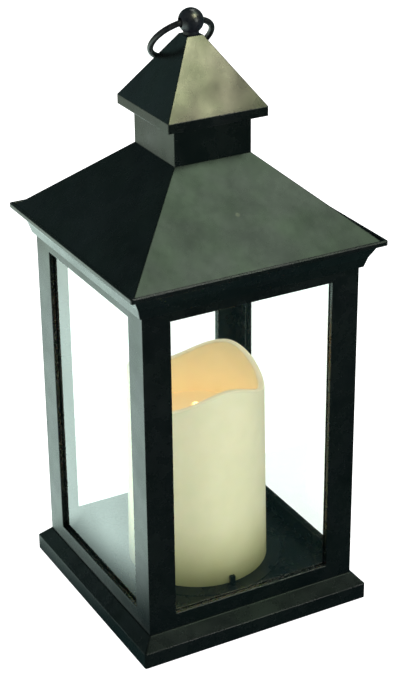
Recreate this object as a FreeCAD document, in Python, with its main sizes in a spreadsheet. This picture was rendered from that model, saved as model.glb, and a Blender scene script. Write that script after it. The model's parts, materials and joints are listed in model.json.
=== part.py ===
import FreeCAD, Part
import Sketcher
import math
import os

# A table lantern: a square plinth, four glazed wall frames, a cornice, a hipped roof with a chimney and a
# small cap, a ball finial with a swinging ring, and a candle light that twists out from below.
# Millimetres. The origin is the centre of the footprint on the table, +Z is up, and the front faces -Y.

SIZES = [
    # plinth
    ("plinth_side", 140, "side of the square plinth"),
    ("plinth_band", 10, "top of the plinth's upright band"),
    ("plinth_corner", 1, "corner radius of the plinth"),
    ("deck_height", 16.2, "top of the deck that the walls stand on"),
    ("deck_thickness", 2.5, "thickness of the deck"),
    ("deck_lip", 0.4, "shelf of deck left outside the walls"),
    ("wall", 2.4, "moulded wall thickness"),
    ("edge_round", 0.4, "rounding of the moulded edges"),
    ("foot_lift", 0.8, "clearance of the plinth above the table"),
    ("foot_radius", 6, "radius of a rubber foot"),
    ("foot_recess", 2.2, "depth of the recess that holds a foot"),
    ("foot_reach", 48, "feet from the middle, both ways"),
    ("foot_rim", 2, "wall of the boss round a foot"),
    # walls and panes
    ("body_side", 127, "outside of the four walls"),
    ("post_width", 16, "width of an upright, seen from outside"),
    ("sill", 9.3, "height of the bottom rail"),
    ("head_rail", 6, "height of the top rail"),
    ("frame_height", 188.8, "height of a wall frame"),
    ("frame_thickness", 4.2, "thickness of a wall frame"),
    ("pane_setback", 2.2, "outside of the frame to the pane"),
    ("pane_thickness", 1, "thickness of a pane"),
    ("pane_bite", 2.5, "pane held in its groove, each side"),
    ("pane_play", 0.1, "play of a pane in its groove"),
    # cornice
    ("cornice_step", 1.9, "step from the walls out to the cornice"),
    ("cornice_height", 13.2, "height of the cornice"),
    ("cornice_break", 5.7, "height of the cornice's shallow bend"),
    ("cornice_break_reach", 1.7, "overhang at the bend"),
    ("cornice_reach", 5.6, "overhang at the cornice's top"),
    ("skirt_drop", 4, "locating skirt under the cornice"),
    ("skirt_thickness", 2, "thickness of the locating skirt"),
    # main roof
    ("brim_side", 148.4, "side of the roof's brim"),
    ("brim_height", 3, "thickness of the brim"),
    ("brim_corner", 1.2, "corner radius of the brim"),
    ("lip_width", 1.9, "width of the brim's raised lip"),
    ("gutter_width", 0.8, "width of the groove inside the lip"),
    ("gutter_depth", 0.9, "depth of the groove inside the lip"),
    ("roof_rise", 42.3, "rise of the main slopes"),
    ("roof_skin", 3.6, "level thickness of the roof's slopes"),
    ("gate_mark", 1.2, "radius of the moulding nub on the front slope"),
    # chimney, cap and finial
    ("chimney_side", 44.7, "side of the square chimney"),
    ("chimney_height", 20.3, "visible height of the chimney"),
    ("chimney_post", 3.5, "radius of the screw posts in the chimney"),
    ("cap_side", 57.5, "side of the cap"),
    ("cap_fascia", 5.1, "upright edge of the cap"),
    ("cap_rise", 34.9, "rise of the cap's slopes"),
    ("cap_platform", 9.2, "side of the cap's flat top"),
    ("cap_skin", 2.9, "level thickness of the cap's slopes"),
    ("cap_peak", 7, "solid peak that takes the finial's screw"),
    ("ball_radius", 6.65, "radius of the finial's ball"),
    ("ball_lift", 6.9, "cap's flat top to the ball's middle"),
    ("neck_radius", 4.1, "radius of the finial's neck"),
    # ring
    ("ring_radius", 16.8, "radius of the ring, to the middle of its wire"),
    ("ring_wire", 3.2, "thickness of the ring's wire"),
    ("ring_drop", 0.2, "ring hole below the ball's middle"),
    ("ring_play", 0.32, "play of the ring's wire in its hole"),
    ("ring_tilt", 47, "ring at rest, degrees below level, leaning back"),
    # screws
    ("screw_radius", 1.5, "radius of a screw's thread"),
    ("screw_head", 2.8, "radius of a screw's head"),
    ("head_height", 2, "height of a screw's head"),
    ("screw_play", 0.2, "play of a screw in its hole"),
    ("tip_gap", 0.8, "space past a screw's tip in a post or an ear"),
    ("screw_inset", 6, "screws from the mitre, along a wall"),
    ("wall_screw_radius", 1, "radius of the thread of a wall frame's screw"),
    ("wall_screw_head", 1.55, "radius of the head of a wall frame's screw"),
    ("wall_screw_bite", 9, "depth of a screw in a wall frame"),
    ("roof_screw_bite", 9, "depth of a screw in a roof boss"),
    ("roof_boss", 4, "radius of a boss under the roof"),
    # candle base, held by a quarter-turn lock
    ("base_radius", 48.3, "radius of the candle base's disc"),
    ("base_proud", 0.3, "disc above the deck"),
    ("base_plate", 2.4, "thickness of the candle base"),
    ("base_rim", 2.3, "wall of the candle base's rim"),
    ("flange_reach", 3.2, "flange under the deck, beyond the disc"),
    ("flange_height", 2.5, "thickness of the flange"),
    ("lug_reach", 4.1, "lock lug beyond the flange"),
    ("lug_sweep", 36, "arc of a lock lug, degrees"),
    ("shelf_sweep", 40, "arc of the shelf under a lug, degrees"),
    ("stop_sweep", 4, "arc of the stop beside a lug, degrees"),
    ("shelf_thickness", 2, "thickness of a shelf"),
    ("twist_play", 0.3, "play round the twisting base"),
    ("tab_width", 3, "width of a tab at the candle's foot"),
    ("tab_height", 4.9, "height of a tab at the candle's foot"),
    ("tab_thickness", 1.8, "thickness of a tab"),
    ("grip_length", 50, "length of a finger grip"),
    ("grip_drop", 9, "depth of a finger grip"),
    ("grip_thickness", 3, "thickness of a finger grip"),
    ("grip_reach", 29, "finger grips from the middle"),
    # candle
    ("candle_foot", 39.8, "candle's radius at its foot"),
    ("candle_mouth", 38, "candle's radius at its rim"),
    ("candle_wall", 3.6, "thickness of the candle at its rim"),
    ("candle_core", 35, "radius inside the candle's skirt"),
    ("candle_height", 113.2, "foot to the middle of the wavy rim"),
    ("rim_wave", 6, "rise and fall of the melted rim"),
    ("rim_lobes", 3, "high places round the melted rim"),
    ("first_lobe", 30, "angle of the first high place, degrees"),
    ("rim_round", 1.2, "rounding of the melted rim"),
    ("well_floor", 85.6, "top of the lamp deck, above the candle's foot"),
    ("ledge_width", 2.6, "ledge that carries the lamp deck"),
    ("ledge_thickness", 3, "thickness of that ledge"),
    ("deck_play", 0.3, "play round the lamp deck"),
    ("led_radius", 3, "radius of the light's lens"),
    ("led_height", 12.8, "lamp deck's underside to the lens tip"),
    ("led_leg", 0.35, "radius of a leg of the light"),
    # electrical parts
    ("cell_radius", 13.1, "radius of a C cell's can"),
    ("cell_height", 48.5, "height of a C cell's can"),
    ("nub_radius", 3.7, "radius of a cell's nub"),
    ("nub_height", 1.5, "height of a cell's nub"),
    ("cell_pitch", 28.4, "distance between the two cells"),
    ("cell_play", 0.4, "play round a cell"),
    ("holder_wall", 2, "wall of the battery holder"),
    ("contact_space", 3.4, "room above the cells for their contacts"),
    ("contact_sheet", 0.4, "thickness of a contact"),
    ("contact_width", 12, "side of a contact"),
    ("spring_flare", 1.5, "contact spring's top beyond its foot"),
    ("ear_reach", 24, "holder's screws from the middle, front to back"),
    ("ear_spread", 18, "holder's screws from the middle, sideways"),
    ("ear_radius", 3.5, "radius of the holder's ears"),
    ("ear_height", 5, "height of the holder's ears"),
    ("board_width", 30, "width of the circuit board"),
    ("board_front", 12, "circuit board in front of the middle"),
    ("board_back", 28, "circuit board behind the middle"),
    ("board_thickness", 1.6, "thickness of the circuit board"),
    ("board_drop", 3.6, "posts between the lamp deck and the board"),
    ("board_post", 2.8, "radius of a post between the lamp deck and the board"),
    ("board_screw", 0.9, "radius of a board screw's thread"),
    ("lead_radius", 0.7, "radius of an insulated lead"),
    # battery door and switch
    ("door_length", 66, "length of the battery door"),
    ("door_width", 36, "width of the battery door"),
    ("door_thickness", 2, "thickness of the battery door"),
    ("door_play", 0.15, "play of the door in its rails"),
    ("rail_thickness", 2.4, "thickness of a door rail"),
    ("rail_lip", 1.5, "rail's lip under the door"),
    ("switch_reach", 24.8, "switch from the middle, towards the back"),
    ("switch_length", 12, "length of the switch's body"),
    ("switch_width", 6, "width of the switch's body"),
    ("switch_height", 5, "height of the switch's body"),
    ("track_depth", 3, "depth of the knob's track in the switch"),
    ("knob_length", 3, "length of the switch's knob"),
    ("knob_width", 2.2, "width of the switch's knob"),
    ("knob_travel", 5, "off, on and timer, end to end"),
    ("slide_play", 0.3, "play round the knob"),
]

Vector = FreeCAD.Vector
document = FreeCAD.newDocument("lantern")
sheet = document.addObject("Spreadsheet::Sheet", "Sizes")
for row, (alias, number, note) in enumerate(SIZES, start=1):
    sheet.set(f"A{row}", note)
    sheet.set(f"B{row}", str(number))
    sheet.setAlias(f"B{row}", alias)
document.recompute()


class Size:
    """A number worked out from the sheet, which keeps the formula that binds it there."""

    def __init__(self, text, value):
        self.text = text
        self.value = value

    def joined(self, sign, other, value):
        return Size(f"({self.text} {sign} {other.text})", value)

    def __add__(self, other):
        other = as_size(other)
        return self.joined("+", other, self.value + other.value)

    def __sub__(self, other):
        other = as_size(other)
        return self.joined("-", other, self.value - other.value)

    def __mul__(self, other):
        other = as_size(other)
        return self.joined("*", other, self.value * other.value)

    def __truediv__(self, other):
        other = as_size(other)
        return self.joined("/", other, self.value / other.value)

    def __neg__(self):
        return Size(f"(0 - {self.text})", -self.value)


def as_size(number):
    """A plain number as a Size."""
    if isinstance(number, Size):
        return number
    return Size(str(number), float(number))


def size(alias):
    """A driving size, read from the sheet."""
    return Size(f"Sizes.{alias}", float(sheet.get(alias)))


def span(first, second):
    """Two sizes, the smaller one first."""
    return sorted((as_size(first), as_size(second)), key=lambda end: end.value)


def square_root(number):
    return Size(f"sqrt({number.text})", math.sqrt(number.value))


def cosine(angle):
    return Size(f"cos({angle.text} * 1 deg)", math.cos(math.radians(angle.value)))


def sine(angle):
    return Size(f"sin({angle.text} * 1 deg)", math.sin(math.radians(angle.value)))


def bind(thing, **formulas):
    """Binds properties of an object to formulas."""
    for name, formula in formulas.items():
        thing.setExpression(name, as_size(formula).text)


def put(thing, across=0, back=0, up=0):
    """Binds where an object stands."""
    for axis, formula in (("x", across), ("y", back), ("z", up)):
        thing.setExpression(f"Placement.Base.{axis}", as_size(formula).text)
    return thing


def turn(thing, degrees, axis=Vector(0, 0, 1)):
    """Turns an object by a fixed angle about its own place."""
    thing.Placement.Rotation = FreeCAD.Rotation(axis, degrees)
    return thing


# --- solids from primitives and booleans ---

def box(name, low, high):
    """A box between two corners."""
    solid = document.addObject("Part::Box", name)
    spans = [as_size(top) - bottom for bottom, top in zip(low, high)]
    bind(solid, Length=spans[0], Width=spans[1], Height=spans[2])
    return put(solid, *low)


def cylinder(name, radius, bottom, top, across=0, back=0):
    """An upright cylinder between two levels."""
    solid = document.addObject("Part::Cylinder", name)
    bind(solid, Radius=radius, Height=as_size(top) - bottom)
    return put(solid, across, back, bottom)


def tube(name, outside, inside, bottom, top, across=0, back=0):
    """An upright tube between two levels."""
    return cut(name, cylinder(name + "_outside", outside, bottom, top, across, back),
               cylinder(name + "_inside", inside, bottom, top, across, back))


def sector(name, outside, inside, bottom, top, sweep, middle):
    """A part of an upright ring, centred on an angle in degrees."""
    wedges = []
    for label, radius in (("outside", outside), ("inside", inside)):
        wedge = document.addObject("Part::Cylinder", f"{name}_{label}")
        bind(wedge, Radius=radius, Height=as_size(top) - bottom, Angle=sweep)
        put(wedge, 0, 0, bottom)
        start = as_size(middle) - as_size(sweep) / 2
        turn(wedge, start.value)
        wedge.setExpression("Placement.Rotation.Angle", start.text)
        wedges.append(wedge)
    return cut(name, *wedges)


def cut(name, base, tool):
    result = document.addObject("Part::Cut", name)
    result.Base = base
    result.Tool = tool
    return result


def fuse(name, *solids):
    result = document.addObject("Part::MultiFuse", name)
    result.Shapes = list(solids)
    return result


def group(name, solids):
    """Separate like pieces that share a node."""
    result = document.addObject("Part::Compound", name)
    result.Links = list(solids)
    return result


def rounded(name, base, radius, chosen):
    """Rounds the edges that a test picks."""
    document.recompute()
    result = document.addObject("Part::Fillet", name)
    result.Base = base
    edges = enumerate(base.Shape.Edges, start=1)
    result.Edges = [(number, radius.value, radius.value) for number, edge in edges if chosen(edge)]
    return result


def level(edge, height):
    """Whether an edge lies level at a height."""
    bounds = edge.BoundBox
    return abs(bounds.ZMin - height.value) < 0.01 and abs(bounds.ZMax - height.value) < 0.01


def reaches(edge, half):
    """Whether an edge reaches as far out as a square of a half side."""
    bounds = edge.BoundBox
    reach = max(abs(bounds.XMin), abs(bounds.XMax), abs(bounds.YMin), abs(bounds.YMax))
    return reach > half.value - 0.01


# --- sketches ---

def pin(sketch, edge, point, across, up):
    """Fixes one point of a sketch from the sketch's origin."""
    for kind, formula in (("DistanceX", as_size(across)), ("DistanceY", as_size(up))):
        index = sketch.addConstraint(Sketcher.Constraint(kind, -1, 1, edge, point, formula.value))
        if "Sizes" in formula.text:
            sketch.setExpression(f"Constraints[{index}]", formula.text)


def outline(sketch, corners):
    """A closed outline of straight lines through corners."""
    points = [Vector(as_size(across).value, as_size(up).value, 0) for across, up in corners]
    first = sketch.GeometryCount
    count = len(corners)
    for k in range(count):
        sketch.addGeometry(Part.LineSegment(points[k], points[(k + 1) % count]))
    for k in range(count):
        following = first + (k + 1) % count
        sketch.addConstraint(Sketcher.Constraint("Coincident", first + k, 2, following, 1))
    for k, (across, up) in enumerate(corners):
        pin(sketch, first + k, 1, across, up)


def rectangle(sketch, left, right, low, high):
    outline(sketch, [(left, low), (right, low), (right, high), (left, high)])


def round_hole(sketch, radius, across=0, up=0):
    """A circle in a sketch."""
    middle = Vector(as_size(across).value, as_size(up).value, 0)
    edge = sketch.addGeometry(Part.Circle(middle, Vector(0, 0, 1), as_size(radius).value))
    pin(sketch, edge, 3, across, up)
    index = sketch.addConstraint(Sketcher.Constraint("Radius", edge, as_size(radius).value))
    sketch.setExpression(f"Constraints[{index}]", as_size(radius).text)


def rounded_rectangle(sketch, left, right, low, high, radius):
    """A closed rectangle with quarter-round corners."""
    left, right, low, high, radius = (as_size(number) for number in (left, right, low, high, radius))
    inner = [(right - radius, low + radius), (right - radius, high - radius),
             (left + radius, high - radius), (left + radius, low + radius)]
    straights = [((left + radius, low), (right - radius, low)),
                 ((right, low + radius), (right, high - radius)),
                 ((right - radius, high), (left + radius, high)),
                 ((left, high - radius), (left, low + radius))]
    for start, end in straights:
        points = [Vector(across.value, up.value, 0) for across, up in (start, end)]
        edge = sketch.addGeometry(Part.LineSegment(*points))
        pin(sketch, edge, 1, *start)
        pin(sketch, edge, 2, *end)
    for k, (across, up) in enumerate(inner):
        circle = Part.Circle(Vector(across.value, up.value, 0), Vector(0, 0, 1), radius.value)
        start = math.radians(90 * k - 90)
        arc = sketch.addGeometry(Part.ArcOfCircle(circle, start, start + math.pi / 2))
        sketch.addConstraint(Sketcher.Constraint("Coincident", arc, 1, k, 2))
        sketch.addConstraint(Sketcher.Constraint("Coincident", arc, 2, (k + 1) % 4, 1))
        index = sketch.addConstraint(Sketcher.Constraint("DistanceX", -1, 1, arc, 3, across.value))
        sketch.setExpression(f"Constraints[{index}]", across.text)


def tapered(name, levels):
    """A square block with rounded corners through (height, half side, corner radius) levels."""
    sections = []
    for number, (height, half, radius) in enumerate(levels):
        sketch = document.addObject("Sketcher::SketchObject", f"{name}_level{number}")
        rounded_rectangle(sketch, -half, half, -half, half, radius)
        sections.append(put(sketch, 0, 0, height))
    block = document.addObject("Part::Loft", name)
    block.Sections = sections
    block.Solid = True
    block.Ruled = True
    return block


# --- bodies of sketched features ---

def new_body(name):
    body = document.addObject("PartDesign::Body", name)
    body.Label = name
    return body


def new_sketch(body, name, role="XY_Plane", lift=0):
    """A sketch on one of a body's own planes, lifted along that plane's normal."""
    sketch = body.newObject("Sketcher::SketchObject", name)
    plane = [feature for feature in body.Origin.OriginFeatures if feature.Role == role][0]
    sketch.AttachmentSupport = [(plane, "")]
    sketch.MapMode = "FlatFace"
    sketch.setExpression("AttachmentOffset.Base.z", as_size(lift).text)
    return sketch


def pad(body, name, sketch, length):
    feature = body.newObject("PartDesign::Pad", name)
    feature.Profile = sketch
    bind(feature, Length=length)
    return feature


def pocket(body, name, sketch, depth, upward=True):
    """Cuts a sketch's shape out of the body, upward or downward from the sketch."""
    feature = body.newObject("PartDesign::Pocket", name)
    feature.Profile = sketch
    feature.Reversed = upward
    bind(feature, Length=depth)
    return feature


def revolution(body, name, sketch):
    feature = body.newObject("PartDesign::Revolution", name)
    feature.Profile = sketch
    feature.ReferenceAxis = (sketch, ["V_Axis"])
    feature.Angle = 360
    return feature


def softened(body, name, radius, chosen):
    """Rounds the edges of a body that a test picks."""
    document.recompute()
    before = body.Tip
    edges = enumerate(before.Shape.Edges, start=1)
    picked = [f"Edge{number}" for number, edge in edges if chosen(edge)]
    feature = body.newObject("PartDesign::Fillet", name)
    feature.Base = (before, picked)
    bind(feature, Radius=radius)
    return feature


def domed(sketch, stem, foot, radius, middle):
    """Half of a round stem's outline, with a ball of a radius on it whose middle is at a level."""
    meeting = middle - square_root(radius * radius - stem * stem)
    points = [(as_size(0), middle + radius), (as_size(0), foot), (stem, foot), (stem, meeting)]
    vectors = [Vector(across.value, up.value, 0) for across, up in points]
    for k in range(3):
        sketch.addGeometry(Part.LineSegment(vectors[k], vectors[k + 1]))
    circle = Part.Circle(Vector(0, middle.value, 0), Vector(0, 0, 1), radius.value)
    sketch.addGeometry(Part.ArcOfCircle(circle, -math.acos(stem.value / radius.value), math.pi / 2))
    for k in range(2):
        sketch.addConstraint(Sketcher.Constraint("Coincident", k, 2, k + 1, 1))
    for k, (across, up) in enumerate(points[:3]):
        pin(sketch, k, 1, across, up)
    pin(sketch, 2, 2, *points[3])
    sketch.addConstraint(Sketcher.Constraint("Coincident", 2, 2, 3, 1))
    sketch.addConstraint(Sketcher.Constraint("Coincident", 3, 2, 0, 1))
    index = sketch.addConstraint(Sketcher.Constraint("DistanceY", -1, 1, 3, 3, middle.value))
    sketch.setExpression(f"Constraints[{index}]", middle.text)


nodes = []


def node(solid, name):
    """Lists a finished piece under its own name."""
    solid.Label = name
    nodes.append(solid)
    return solid


SIDES = (("front", 0), ("right", 90), ("back", 180), ("left", 270))
CORNERS = ((1, 1), (-1, 1), (-1, -1), (1, -1))


# --- levels and half sides that pieces share ---

wall = size("wall")
deck_top = size("deck_height")
deck_underside = deck_top - size("deck_thickness")
plinth_half = size("plinth_side") / 2
body_half = size("body_side") / 2
frame_inside = body_half - size("frame_thickness")
frame_middle = body_half - size("frame_thickness") / 2
frame_top = deck_top + size("frame_height")
window_half = body_half - size("post_width")
window_bottom = deck_top + size("sill")
window_top = frame_top - size("head_rail")
cornice_top = frame_top + size("cornice_height")
cornice_half = body_half + size("cornice_step")
cornice_top_half = cornice_half + size("cornice_reach")
ceiling_top = frame_top + wall
brim_half = size("brim_side") / 2
brim_top = cornice_top + size("brim_height")
gutter_floor = brim_top - size("gutter_depth")
slope_foot_half = brim_half - size("lip_width") - size("gutter_width")
chimney_half = size("chimney_side") / 2
roof_top = gutter_floor + size("roof_rise")
cap_half = size("cap_side") / 2
cap_foot = roof_top + size("chimney_height")
cap_shoulder = cap_foot + size("cap_fascia")
cap_top = cap_shoulder + size("cap_rise")
ball_middle = cap_top + size("ball_lift")
hole_middle = ball_middle - size("ring_drop")
screw_along = frame_middle - size("screw_inset")
roof_screw_reach = size("foot_reach")
post_reach = chimney_half - wall - size("chimney_post") + wall / 4
base_top = deck_top + size("base_proud")
plate_underside = base_top - size("base_plate")
flange_top = deck_underside - size("twist_play")
flange_bottom = flange_top - size("flange_height")
flange_radius = size("base_radius") + size("flange_reach")
lug_radius = flange_radius + size("lug_reach")
shelf_top = flange_bottom - size("twist_play")
shelf_bottom = shelf_top - size("shelf_thickness")
lock_radius = lug_radius + size("twist_play")
foot_top = size("foot_lift") + size("foot_recess")


def wall_screw_places():
    """Where the two screws of each wall stand, right round the lantern."""
    places = []
    for side in (1, -1):
        along = screw_along * side
        places += [(along, -frame_middle), (along, frame_middle)]
        places += [(-frame_middle, along), (frame_middle, along)]
    return places


def corner_places(reach):
    """The four corners of a square about the axis."""
    return [(reach * across, reach * back) for across, back in CORNERS]


def screws(name, places, seat, bite, upward, head=None, thread=None):
    """Like screws, whose heads sit on one side of a seat and whose threads bite past it."""
    radius = thread or size("screw_radius")
    head = head or size("screw_head")
    slot_half = radius / 3
    made = []
    for number, (across, back) in enumerate(places):
        label = f"{name}_{number}"
        way = 1 if upward else -1
        face = seat - size("head_height") * way
        depth = span(face, seat - size("head_height") * way / 2)
        top = cylinder(label + "_head", head, *span(seat, face), across, back)
        shank = cylinder(label + "_shank", radius, *span(seat, seat + bite * way), across, back)
        cross = [box(label + "_slot", (across - half_x, back - half_y, depth[0]),
                     (across + half_x, back + half_y, depth[1]))
                 for half_x, half_y in ((radius, slot_half), (slot_half, radius))]
        made.append(cut(label, fuse(label + "_body", top, shank), fuse(label + "_cross", *cross)))
    return node(group(name, made), name)


def holes(name, places, radius, bottom, top):
    """A set of upright round cutters."""
    drills = [cylinder(f"{name}_{number}", radius, bottom, top, across, back)
              for number, (across, back) in enumerate(places)]
    return fuse(name, *drills)


screw_clearance = size("screw_radius") + size("screw_play")
wall_screw_clearance = size("wall_screw_radius") + size("screw_play")


# --- plinth ---

def make_base_plinth():
    """A hollow square foot with a round lock for the candle base and a boss for each rubber foot."""
    corner = size("plinth_corner")
    ledge_half = body_half + size("deck_lip")
    outside = tapered("plinth_outside", [
        (size("foot_lift"), plinth_half, corner),
        (size("plinth_band"), plinth_half, corner),
        (deck_top, ledge_half, corner / 2)])
    hollow_shoulder = size("plinth_band") - wall / 2
    hollow = tapered("plinth_hollow", [
        (size("foot_lift"), plinth_half - wall, corner / 2),
        (hollow_shoulder, plinth_half - wall, corner / 2),
        (deck_underside, ledge_half - wall / 3, corner / 2)])
    bosses = [cylinder(f"foot_boss_{number}", size("foot_radius") + size("foot_rim"),
                       size("foot_lift"), deck_underside, across, back)
              for number, (across, back) in enumerate(corner_places(size("foot_reach")))]
    collar = tube("lock_collar", lock_radius + wall, lock_radius, shelf_bottom, deck_underside)
    shelves = []
    for number in range(3):
        middle = 120 * number
        shelf_inside = flange_radius + size("twist_play") * 2
        shelves.append(sector(f"lock_shelf_{number}", lock_radius + wall / 2, shelf_inside, shelf_bottom,
                              shelf_top, size("shelf_sweep"), middle))
        stop_middle = as_size(middle) - size("lug_sweep") / 2 - size("stop_sweep") / 2 - size("twist_play")
        shelves.append(sector(f"lock_stop_{number}", lock_radius + wall / 2, shelf_inside, shelf_bottom,
                              deck_underside, size("stop_sweep"), stop_middle))
    kept = fuse("plinth_inside_parts", *bosses, collar, *shelves)
    shell = fuse("plinth_shell", cut("plinth_skin", outside, hollow), kept)
    bore = cylinder("plinth_bore", size("base_radius") + size("twist_play"), deck_underside, deck_top)
    recesses = holes("foot_recesses", corner_places(size("foot_reach")),
                     size("foot_radius"), size("foot_lift"), foot_top)
    drills = holes("plinth_screw_holes", wall_screw_places(), wall_screw_clearance, deck_underside, deck_top)
    plinth = cut("plinth_cut", shell, fuse("plinth_tools", bore, recesses, drills))
    edge_heights = (size("foot_lift"), size("plinth_band"), deck_top)
    edge_halves = (plinth_half, plinth_half, ledge_half)

    def outer_edge(edge):
        return any(level(edge, height) and reaches(edge, half - corner)
                   for height, half in zip(edge_heights, edge_halves))

    node(rounded("plinth_rounded", plinth, size("edge_round"), outer_edge), "base_plinth")


def make_rubber_feet():
    feet = [cylinder(f"foot_{number}", size("foot_radius"), 0, foot_top, across, back)
            for number, (across, back) in enumerate(corner_places(size("foot_reach")))]
    feet = [rounded(f"foot_rounded_{number}", foot, size("foot_lift"),
                    lambda edge: level(edge, as_size(0))) for number, foot in enumerate(feet)]
    node(group("rubber_feet", feet), "rubber_feet")


# --- walls ---

groove_outside = size("pane_setback") - size("pane_play")
groove_inside = size("pane_setback") + size("pane_thickness") + size("pane_play")
groove_half = window_half + size("pane_bite")
pane_bottom = window_bottom - size("pane_bite")


def window_edge(edge):
    """Whether an edge runs round the front frame's window, on its outer or its inner face."""
    bounds = edge.BoundBox
    on_face = any(abs(bounds.YMin + face.value) < 0.01 and abs(bounds.YMax + face.value) < 0.01
                  for face in (body_half, frame_inside))
    reach = max(abs(bounds.XMin), abs(bounds.XMax))
    inside_rails = bounds.ZMin > window_bottom.value - 0.01 and bounds.ZMax < window_top.value + 0.01
    return on_face and inside_rails and reach < window_half.value + 0.01


def make_wall_frames():
    """Four mitred frames, each with a window, a groove that its pane slides down, and screw holes."""
    for side, degrees in SIDES:
        body = new_body(f"{side}_frame")
        plan = new_sketch(body, f"{side}_plan", lift=deck_top)
        outline(plan, [(-body_half, -body_half), (body_half, -body_half),
                       (frame_inside, -frame_inside), (-frame_inside, -frame_inside)])
        pad(body, f"{side}_block", plan, size("frame_height"))
        window = new_sketch(body, f"{side}_window", "XZ_Plane", frame_inside - size("pane_play"))
        rectangle(window, -window_half, window_half, window_bottom, window_top)
        pocket(body, f"{side}_window_cut", window, size("frame_thickness") * 2, upward=True)
        groove = new_sketch(body, f"{side}_groove", lift=pane_bottom)
        rectangle(groove, -groove_half - size("pane_play"), groove_half + size("pane_play"),
                  -body_half + groove_outside, -body_half + groove_inside)
        pocket(body, f"{side}_groove_cut", groove, size("frame_height"))
        for end, height in (("foot", deck_top), ("head", frame_top)):
            drill = new_sketch(body, f"{side}_{end}_drill", lift=height)
            for way in (1, -1):
                round_hole(drill, size("wall_screw_radius"), screw_along * way, -frame_middle)
            pocket(body, f"{side}_{end}_holes", drill, size("wall_screw_bite") + size("screw_play"),
                   upward=end == "foot")
        softened(body, f"{side}_softened", size("edge_round"), window_edge)
        turn(body, degrees)
        node(body, f"{side}_frame")


def make_panes():
    """A clear sheet for each wall, which stands on the floor of its groove."""
    near = -body_half + size("pane_setback")
    for side, degrees in SIDES:
        body = new_body(f"{side}_pane")
        sheet_plan = new_sketch(body, f"{side}_pane_plan", lift=pane_bottom)
        rectangle(sheet_plan, -groove_half, groove_half, near, near + size("pane_thickness"))
        pad(body, f"{side}_pane_pad", sheet_plan, frame_top - size("pane_play") - pane_bottom)
        turn(body, degrees)
        node(body, f"{side}_pane")


# --- cornice and roofs ---

def make_cornice():
    """A flared tray that closes the walls, with a skirt that locates it inside them."""
    corner = size("plinth_corner") / 2
    outside = tapered("cornice_outside", [
        (frame_top, cornice_half, corner),
        (frame_top + size("cornice_break"), cornice_half + size("cornice_break_reach"), corner),
        (cornice_top, cornice_top_half, corner)])
    hollow = tapered("cornice_hollow", [
        (ceiling_top, cornice_half - wall + size("screw_play"), corner),
        (cornice_top, cornice_top_half - wall, corner)])
    skirt_half = frame_inside - size("slide_play")
    skirt_inside = skirt_half - size("skirt_thickness")
    skirt_bottom = frame_top - size("skirt_drop")
    skirt = cut("skirt", box("skirt_outside", (-skirt_half, -skirt_half, skirt_bottom),
                             (skirt_half, skirt_half, frame_top)),
                box("skirt_inside", (-skirt_inside, -skirt_inside, skirt_bottom),
                    (skirt_inside, skirt_inside, frame_top)))
    wall_drills = holes("cornice_wall_holes", wall_screw_places(), wall_screw_clearance,
                        frame_top, ceiling_top)
    roof_drills = holes("cornice_roof_holes", corner_places(roof_screw_reach), screw_clearance,
                        frame_top, ceiling_top)
    tray = fuse("cornice_tray", cut("cornice_skin", outside, hollow), skirt)
    cornice = cut("cornice_cut", tray, fuse("cornice_drills", wall_drills, roof_drills))

    def outer_edge(edge):
        top = level(edge, cornice_top) and reaches(edge, cornice_top_half - corner)
        return top or (level(edge, frame_top) and reaches(edge, cornice_half - corner))

    node(rounded("cornice_rounded", cornice, size("edge_round") / 2, outer_edge), "cornice")


def make_main_roof():
    """A hollow hipped roof with a brim, a gutter line, a flat top and four bosses inside."""
    corner = size("brim_corner")
    lip_half = brim_half - size("lip_width")
    brim = cut("brim", tapered("brim_block", [(cornice_top, brim_half, corner),
                                              (brim_top, brim_half, corner)]),
               tapered("brim_tray", [(gutter_floor, lip_half, corner / 2),
                                     (brim_top, lip_half, corner / 2)]))
    slopes = tapered("roof_slopes", [(gutter_floor, slope_foot_half, corner / 2),
                                     (roof_top, chimney_half, corner / 4)])
    run = slope_foot_half - chimney_half
    ceiling = roof_top - wall
    hollow_top_half = chimney_half + wall * run / size("roof_rise") - size("roof_skin")
    hollow = tapered("roof_hollow", [(cornice_top, cornice_top_half - wall, corner / 4),
                                     (ceiling, hollow_top_half, corner / 4)])
    columns = holes("roof_columns", corner_places(roof_screw_reach), size("roof_boss"), cornice_top, roof_top)
    mark = document.addObject("Part::Sphere", "gate_mark")
    bind(mark, Radius=size("gate_mark"))
    mark_height = gutter_floor + size("roof_rise") / 2 - size("gate_mark")
    put(mark, 0, -(slope_foot_half + chimney_half) / 2, mark_height)
    roof = cut("roof_shell", fuse("roof_outside", brim, slopes, mark), cut("roof_space", hollow, columns))
    bosses = holes("roof_bosses", corner_places(roof_screw_reach), size("roof_boss"),
                   ceiling_top, gutter_floor)
    roof = fuse("roof_with_bosses", roof, bosses)
    boss_drills = holes("roof_boss_holes", corner_places(roof_screw_reach), size("screw_radius"),
                        ceiling_top, ceiling_top + size("roof_screw_bite") + size("screw_play"))
    top_drills = holes("roof_top_holes", corner_places(post_reach), screw_clearance, ceiling, roof_top)
    roof = cut("roof_cut", roof, fuse("roof_tools", boss_drills, top_drills))

    def outer_edge(edge):
        return level(edge, brim_top) or (level(edge, cornice_top) and reaches(edge, brim_half - corner))

    node(rounded("roof_rounded", roof, size("lip_width") / 3, outer_edge), "main_roof")


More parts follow.
